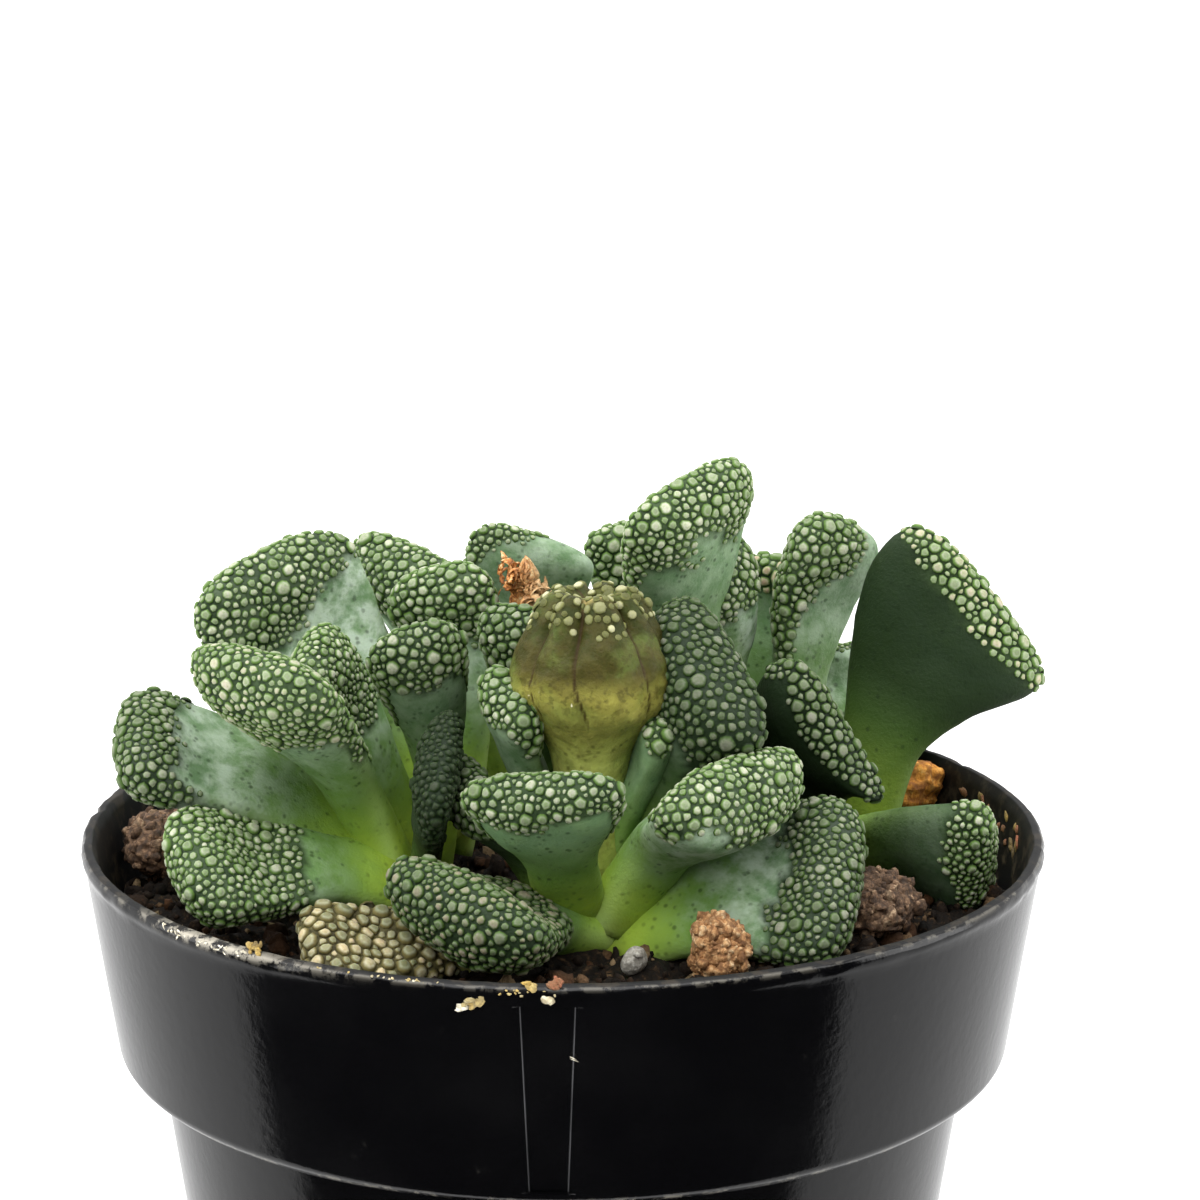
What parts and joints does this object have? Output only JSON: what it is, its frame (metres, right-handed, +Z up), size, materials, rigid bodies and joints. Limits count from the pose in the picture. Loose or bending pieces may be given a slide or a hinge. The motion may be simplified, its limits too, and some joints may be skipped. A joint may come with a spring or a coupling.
{
  "type": "potted concrete leaf succulent",
  "caption": "Small succulent with warty, blunt fan-shaped leaves in several rosettes and a closed flower bud, growing in soil in a round black plastic nursery pot.",
  "frame": {"origin": "centre of the flat underside of the pot", "axes": "+Z up through the pot, -Y towards the front view, +X to the right of it"},
  "size_m": [0.0609, 0.0606, 0.0748],
  "materials": {
    "pot_plastic": "satin black moulded polypropylene with scuffed rim",
    "potting_mix": "rough dark peat and bark mix",
    "leaf_skin": "waxy green skin, paler round warts over the tips",
    "old_leaf_skin": "yellowed, drying skin with pale warts",
    "crown_skin": "smooth yellow-green",
    "bud_skin": "olive calyx with pale warts on a smooth pale green stalk",
    "withered_petal": "dry crumpled brown",
    "bark": "rough orange-brown",
    "clod_earth": "crumbly brown",
    "tan_crumb": "crumbly light brown",
    "grit": "matte pale grey"
  },
  "bodies": {
    "root": {"left_leaf_1": "leaf_skin", "left_leaf_2": "leaf_skin", "left_leaf_3": "leaf_skin", "left_leaf_4": "leaf_skin", "left_leaf_5": "leaf_skin", "left_leaf_6": "leaf_skin", "left_leaf_7": "leaf_skin", "left_leaf_8": "leaf_skin", "left_leaf_9": "leaf_skin", "left_leaf_10": "leaf_skin", "centre_leaf_1": "leaf_skin", "centre_leaf_2": "leaf_skin", "centre_leaf_3": "leaf_skin", "centre_leaf_4": "leaf_skin", "centre_leaf_5": "leaf_skin", "centre_leaf_6": "leaf_skin", "centre_leaf_7": "leaf_skin", "centre_leaf_8": "leaf_skin", "centre_leaf_9": "leaf_skin", "back_leaf_1": "leaf_skin", "back_leaf_2": "leaf_skin", "back_leaf_3": "leaf_skin", "back_leaf_4": "leaf_skin", "back_leaf_5": "leaf_skin", "back_leaf_6": "leaf_skin", "back_leaf_7": "leaf_skin", "back_leaf_8": "leaf_skin", "back_leaf_9": "leaf_skin", "back_leaf_10": "leaf_skin", "right_leaf_1": "leaf_skin", "right_leaf_2": "leaf_skin", "right_leaf_3": "leaf_skin", "right_leaf_4": "leaf_skin", "right_leaf_5": "leaf_skin", "right_leaf_6": "leaf_skin", "right_leaf_7": "leaf_skin", "pot": "pot_plastic", "soil": "potting_mix", "flower_bud": "bud_skin", "withered_flower": "withered_petal", "old_leaf": "old_leaf_skin", "left_crown": "crown_skin", "centre_crown": "crown_skin", "back_crown": "crown_skin", "right_crown": "crown_skin", "bark_chip": "bark", "clod_left": "clod_earth", "clod_right": "clod_earth", "clod_front": "tan_crumb", "grit_flake": "grit"}
  },
  "joints": []
}
